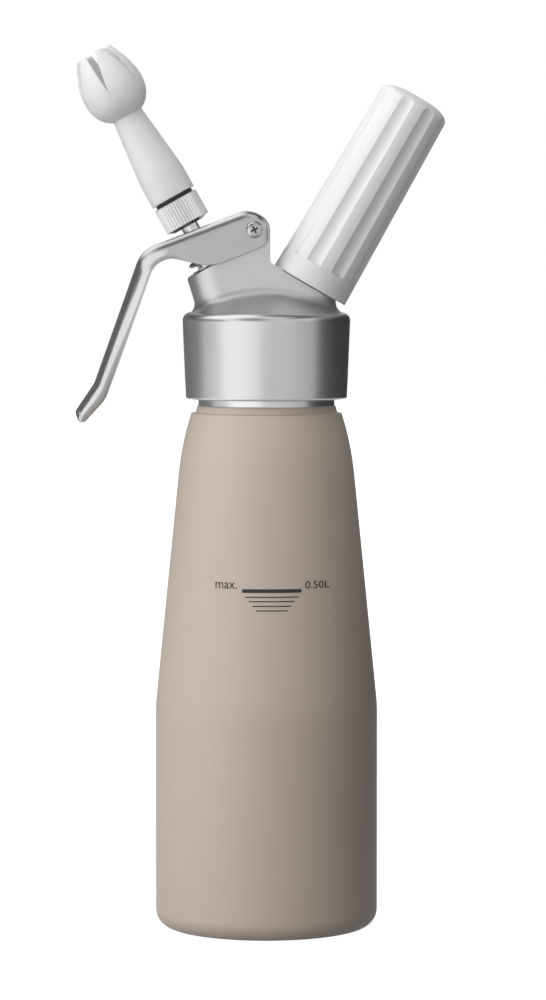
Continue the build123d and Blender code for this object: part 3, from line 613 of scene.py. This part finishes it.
# pivot screw: a pan head with a cross recess, on a plain shank
screwSize = {
    "sides": 64, "rimSteps": 6, "headRadius": 2.95 * mm, "headHeight": 1.5 * mm,
    "rimRound": 1.25 * mm, "shankRadius": 2.0 * mm, "recessReach": 1.7 * mm,
    "recessWidth": 0.75 * mm, "recessDepth": 1.1 * mm, "recessTurn": math.radians(28),
    "recessTaper": (0.6, 0.7, 1)}
screwSize["length"] = screwBox[1][1] - screwBox[0][1]
pivotScrew = addCylinder(
    "pivotScrew", screwSize["sides"], screwSize["headRadius"], screwSize["headHeight"],
    -screwSize["headHeight"] / 2)
pickFaces(pivotScrew, looksUp)
bpy.ops.mesh.bevel(offset=screwSize["rimRound"], segments=screwSize["rimSteps"], affect="EDGES")
pickFaces(pivotScrew, looksDown)
bpy.ops.mesh.inset(thickness=screwSize["headRadius"] - screwSize["shankRadius"])
bpy.ops.mesh.extrude_region_move(
    TRANSFORM_OT_translate={"value": (0, 0, screwSize["headHeight"] - screwSize["length"])})
for turn in (0, math.pi / 2):
    startPiece()
    bpy.ops.mesh.primitive_cube_add(size=1, location=(0, 0, 0))
    wing = bpy.context.object
    wing.scale = (2 * screwSize["recessReach"], screwSize["recessWidth"], 2 * screwSize["recessDepth"])
    freezePlace()
    pickFaces(wing, looksDown)
    bpy.ops.transform.resize(value=screwSize["recessTaper"])
    bpy.ops.object.mode_set(mode="OBJECT")
    wing.rotation_euler = (0, 0, turn + screwSize["recessTurn"])
    cutWith(pivotScrew, wing)
screwPlace = standAt((pivot[0], screwBox[0][1], pivot[2]), (0, -1, 0))
layDown(pivotScrew, screwPlace, screwSteel, "head", "pivot_screw")

# pivot nut: a hexagon with its corners turned off on the outer side
nutSize = {
    "flats": 6.0 * mm, "bore": 2.03 * mm, "cornerShare": 0.96, "cornerRound": 0.35 * mm,
    "cornerSteps": 2, "toolSides": 48}
nutSize["height"] = nutBox[1][1] - nutBox[0][1]
nutSize["corners"] = nutSize["flats"] / math.sqrt(3)
pivotNut = addCylinder("pivotNut", 6, nutSize["corners"], nutSize["height"], -nutSize["height"] / 2)
cornerTool = addCylinder(
    "cornerTool", nutSize["toolSides"], nutSize["cornerShare"] * nutSize["corners"],
    2 * nutSize["height"], -nutSize["height"])
pickFaces(cornerTool, looksUp)
bpy.ops.mesh.bevel(offset=nutSize["cornerRound"], segments=nutSize["cornerSteps"], affect="EDGES")
bpy.ops.object.mode_set(mode="OBJECT")
cutWith(pivotNut, cornerTool, "INTERSECT")
cutWith(pivotNut, addCylinder("boreTool", nutSize["toolSides"], nutSize["bore"], 4 * nutSize["height"]))
nutPlace = standAt((pivot[0], nutBox[1][1], pivot[2]), (0, 1, 0))
layDown(pivotNut, nutPlace, screwSteel, "head", "pivot_nut")
print("pivot screw and nut modelled")

# return spring, between the gland and the stem's flange
springSize = {
    "sides": 14, "steps": 40, "radius": 6.4 * mm, "radial": 0.7 * mm, "axial": 0.7 * mm,
    "low": 0.7 * mm, "rise": 6.7 * mm, "turns": 2.6, "hand": -1, "foot": 39.4 * mm,
    "start": math.radians(60), "travel": 2.7 * mm}
springSize["pitch"] = springSize["rise"] / springSize["turns"]
springFoot = axesMeet + springSize["foot"] * valveWay
returnSpring = sweepHelix("returnSpring", springSize)
springPlace = standAt(springFoot, valveWay, springSize["start"])
layDown(returnSpring, springPlace, springSteel, "head", "return_spring")
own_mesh(returnSpring)
print("return spring wound")

# threads: neck, collar, charger nipple and nozzle spigot
ribFineness = {"sides": 10, "steps": 72}
threads = {
    "neckThread": {
        "radius": 22.95 * mm, "radial": 0.75 * mm, "axial": 1.25 * mm, "low": 190.6 * mm,
        "rise": 15.5 * mm, "pitch": 4.5 * mm, "sink": -1.4 * mm, "place": Matrix.Identity(4),
        "body": "bottle", "slot": "lacquered_bottle", "material": bareAluminium},
    "collarThread": {
        "radius": 24.35 * mm, "radial": 0.4 * mm, "axial": 1.1 * mm, "low": 189.5 * mm,
        "rise": 15.5 * mm, "pitch": 4.5 * mm, "sink": 0.9 * mm, "place": Matrix.Identity(4),
        "body": "head", "slot": "satin_aluminium", "material": satinAluminium},
    "nippleThread": {
        "radius": 11.0 * mm, "radial": 0.22 * mm, "axial": 0.5 * mm, "low": 32.0 * mm,
        "rise": 5.6 * mm, "pitch": 1.4 * mm, "sink": -0.5 * mm,
        "place": standAt(axesMeet, holderWay), "body": "head", "slot": "satin_aluminium",
        "material": satinAluminium},
    "spigotThread": {
        "radius": 5.6 * mm, "radial": 0.17 * mm, "axial": 0.35 * mm, "low": 66.9 * mm,
        "rise": 6.0 * mm, "pitch": 1.0 * mm, "sink": -0.4 * mm,
        "place": standAt(axesMeet, valveWay), "body": "adapter", "slot": "grip_metal",
        "material": gripMetal},
}
for name, thread in threads.items():
    rib = sweepHelix(name, {**thread, **ribFineness})
    layDown(rib, thread["place"], thread["material"], thread["body"])
print("threads swept")

# fill scale printed on the front of the bottle: a bar, four shorter lines and two words
fillScale = {
    "middle": 1.9 * mm, "stand": 46 * mm, "lift": 0.05 * mm, "ink": 0.03 * mm, "weld": 0.0001,
    "bars": (  # height, width and weight in mm
        (121.35, 20.4, 1.25), (119.25, 18.3, 0.36), (117.75, 15.8, 0.36), (116.15, 13.4, 0.36),
        (114.6, 10.9, 0.36)),
    "words": (  # text, left, right, foot and height in mm
        ("max.", -17.5, -10.1, 122.0, 2.2), ("0.50L", 13.4, 21.8, 122.0, 2.55)),
}


def printOn(piece):
    # lays a flat mark that stands in front of the bottle onto its wall, as a thin film of ink
    wrap = piece.modifiers.new("wrap", "SHRINKWRAP")
    wrap.wrap_method = "PROJECT"
    wrap.use_project_x = wrap.use_project_z = False
    wrap.use_project_y = True
    wrap.use_positive_direction = True
    wrap.use_negative_direction = False
    wrap.target = frame["nodes"]["bottle"]
    wrap.offset = fillScale["lift"]
    film = piece.modifiers.new("film", "SOLIDIFY")
    film.thickness = fillScale["ink"]
    film.offset = 1
    applyAll(piece)
    layDown(piece, Matrix.Identity(4), printInk, "bottle")


for index, (height, width, weight) in enumerate(fillScale["bars"]):
    startPiece()
    bpy.ops.mesh.primitive_grid_add(
        x_subdivisions=48, y_subdivisions=2, size=1, rotation=(math.pi / 2, 0, 0),
        location=(fillScale["middle"], -fillScale["stand"], height * mm))
    bar = bpy.context.object
    bar.name = "fillBar" + str(index)
    bar.scale = (width * mm, weight * mm, 1)
    freezePlace()
    printOn(bar)
for word, left, right, foot, height in fillScale["words"]:
    startPiece()
    bpy.ops.object.text_add()
    bpy.context.object.data.body = word
    bpy.ops.object.convert(target="MESH")
    mark = bpy.context.object
    mark.name = "fillWord" + str(int(right > 0))
    bpy.ops.object.mode_set(mode="EDIT")
    bpy.ops.mesh.select_all(action="SELECT")
    bpy.ops.mesh.remove_doubles(threshold=fillScale["weld"])
    bpy.ops.mesh.quads_convert_to_tris()
    bpy.ops.object.mode_set(mode="OBJECT")
    low = Vector([min(vertex.co[axis] for vertex in mark.data.vertices) for axis in range(3)])
    high = Vector([max(vertex.co[axis] for vertex in mark.data.vertices) for axis in range(3)])
    shrink = Vector(((right - left) * mm / (high.x - low.x), height * mm / (high.y - low.y), 1))
    mark.scale = shrink
    mark.rotation_euler = (math.pi / 2, 0, 0)
    mark.location = (left * mm - low.x * shrink.x, -fillScale["stand"], foot * mm - low.y * shrink.y)
    freezePlace()
    printOn(mark)
print("fill scale printed")

# studio: floor, world, lamps, and the cards that metal reflects
studio = {
    "floorSize": 12.0, "floorTone": grey(0.29), "floorRough": 0.8, "worldWhite": 1.0,
    "worldFill": 0.41, "lampAim": (0, 0, 0.2), "shadowReach": (0.18, 0.75), "shadowShare": 0.26,
    "floorGlow": 1.33, "floorInGloss": 0.76,
    "lamps": (  # name, azimuth from the front (left is minus), distance, height, size, radiance
        ("windowLamp", -42.0, 1.15, 0.42, (1.25, 1.9), 1.62),
        ("sideLamp", -88.0, 1.10, 0.35, (0.8, 1.5), 0.95),
        ("topLamp", -20.0, 0.35, 1.35, (0.9, 0.9), 1.05),
    ),
    "cards": (  # name, azimuth, distance, height, size, tone
        ("rightCard", 119.0, 0.62, 0.07, (1.3, 0.96), 0.045),
        ("upperRightCard", 118.0, 0.75, 0.85, (1.2, 0.6), 0.34),
        ("leftCard", -138.0, 0.62, 0.05, (1.0, 1.0), 0.2),
        ("sideCard", -88.0, 0.95, -0.12, (0.62, 0.94), 0.76),
        ("darkSideCard", -94.0, 0.95, 0.48, (1.44, 0.35), 0.10),
        ("upperSideCard", -100.0, 0.98, 1.10, (1.2, 1.0), 1.6),
        ("keyCard", -38.0, 1.25, 0.0, (1.45, 0.94), 1.6),
        ("upperKeyCard", -66.0, 1.20, 0.99, (1.17, 1.04), 1.35),
        ("frontCard", 17.0, 1.25, 0.0, (1.1, 0.94), 0.86),
        ("frontRightCard", 58.0, 1.05, 0.0, (0.72, 0.94), 0.64),
        ("darkHighCard", -21.0, 1.20, 1.00, (0.83, 1.08), 0.14),
        ("highFrontCard", 24.0, 1.20, 1.00, (1.15, 1.08), 0.86),
    ),
    "ceilings": (  # name, place, size, tone
        ("topCard", (-0.55, 0.10, 1.14), (0.9, 1.0), 1.7),
        ("lowLeftCard", (-0.52, -0.28, 0.004), (0.7, 0.8), 1.35),
        ("frontCeiling", (0.20, -0.75, 1.13), (0.63, 0.9), 0.95),
        ("darkCeiling", (0.50, -0.45, 1.15), (1.2, 1.5), 0.05),
        ("backLeftCeiling", (-0.60, 1.25, 1.15), (1.0, 1.3), 1.1),
        ("backCeiling", (0.50, 0.95, 1.15), (1.2, 1.3), 0.70),
    ),
    # a flag keeps the white room's light off the bottle's right side
    "flag": ("lowFlag", 88.0, 0.13, 0.07, (0.5, 0.14)),
}


def aroundObject(azimuth, distance, height):
    turn = math.radians(azimuth)
    return (distance * math.sin(turn), -distance * math.cos(turn), height)


def seenByEye(tree, path):
    # 1 for what the camera sees, straight, in a reflection or through something clear
    seen = calculate(tree, "MAXIMUM", path["Is Camera Ray"], path["Is Glossy Ray"])
    return calculate(tree, "MAXIMUM", seen, path["Is Transmission Ray"])


startPiece()
bpy.ops.mesh.primitive_plane_add(size=studio["floorSize"], location=(0, 0, 0))
tableTop = bpy.context.object
tableTop.name = "tableTop"
tableMaterial, tableTree, tableShader = newMaterial("paleTable")
tableShader.inputs["Base Color"].default_value = (*studio["floorTone"], 1)
tableShader.inputs["Roughness"].default_value = studio["floorRough"]
tablePath = tableTree.nodes.new("ShaderNodeLightPath").outputs
tableGlow = blendValues(
    tableTree, tablePath["Is Glossy Ray"], studio["floorGlow"], studio["floorInGloss"])
tableWhite = addNode(tableTree, "ShaderNodeEmission", Color=(1, 1, 1, 1), Strength=tableGlow)
# near the object the table shows a share of its shadow, and further off it is plain white
tableReach = vectorMath(tableTree, "LENGTH", objectPlace(tableTree))["Value"]
tableFade = addNode(
    tableTree, "ShaderNodeMapRange", Value=tableReach, From_Min=studio["shadowReach"][0],
    From_Max=studio["shadowReach"][1], To_Min=1 - studio["shadowShare"])
tableFade.interpolation_type = "SMOOTHSTEP"
tableShare = calculate(tableTree, "MULTIPLY", seenByEye(tableTree, tablePath), tableFade.outputs[0])
tableMix = tableTree.nodes.new("ShaderNodeMixShader")
for socket, source in enumerate((tableShare, tableShader.outputs[0], tableWhite.outputs[0])):
    connect(tableTree, source, tableMix.inputs[socket])
connect(tableTree, tableMix.outputs[0], tableTree.nodes["Material Output"].inputs["Surface"])
tableTop.data.materials.append(tableMaterial)

studioWorld = bpy.data.worlds.new("studioWorld")
bpy.context.scene.world = studioWorld
studioWorld.use_nodes = True
worldTree = studioWorld.node_tree
worldPath = worldTree.nodes.new("ShaderNodeLightPath").outputs
worldSeen = seenByEye(worldTree, worldPath)
worldLevel = blendValues(worldTree, worldSeen, studio["worldFill"], studio["worldWhite"])
worldBackground = worldTree.nodes["Background"]
worldBackground.inputs["Color"].default_value = (1, 1, 1, 1)
connect(worldTree, worldLevel, worldBackground.inputs["Strength"])

for name, azimuth, distance, height, size, radiance in studio["lamps"]:
    lampData = bpy.data.lights.new(name, "AREA")
    lampData.shape = "RECTANGLE"
    lampData.size, lampData.size_y = size
    lampData.energy = radiance * math.pi * size[0] * size[1]
    lamp = bpy.data.objects.new(name, lampData)
    bpy.context.scene.collection.objects.link(lamp)
    lamp.location = aroundObject(azimuth, distance, height)
    lamp.visible_glossy = False
    aimedAt(lamp, studio["lampAim"])


def standCard(name, place, size, target):
    # a black card that stands in no picture and casts no shadow
    bpy.ops.mesh.primitive_plane_add(size=1, location=place)
    card = bpy.context.object
    card.name = name
    aimedAt(card, target)
    card.scale = (size[0], size[1], 1)
    card.visible_camera = False
    card.visible_shadow = False
    cardMaterial, cardTree, cardShader = newMaterial(name)
    cardShader.inputs["Base Color"].default_value = (*grey(0), 1)
    cardShader.inputs["Specular IOR Level"].default_value = 0
    card.data.materials.append(cardMaterial)
    return card, cardShader


cards = [(name, aroundObject(azimuth, distance, height), size, (0, 0, height), tone)
         for name, azimuth, distance, height, size, tone in studio["cards"]]
cards += [(name, place, size, (place[0], place[1], 0), tone)
          for name, place, size, tone in studio["ceilings"]]
for name, place, size, target, tone in cards:
    card, cardShader = standCard(name, place, size, target)
    cardShader.inputs["Emission Color"].default_value = (1, 1, 1, 1)
    cardShader.inputs["Emission Strength"].default_value = tone
    card.visible_diffuse = False
name, azimuth, distance, height, size = studio["flag"]
flag = standCard(name, aroundObject(azimuth, distance, height), size, (0, 0, height))[0]
flag.visible_glossy = False
print("studio set")
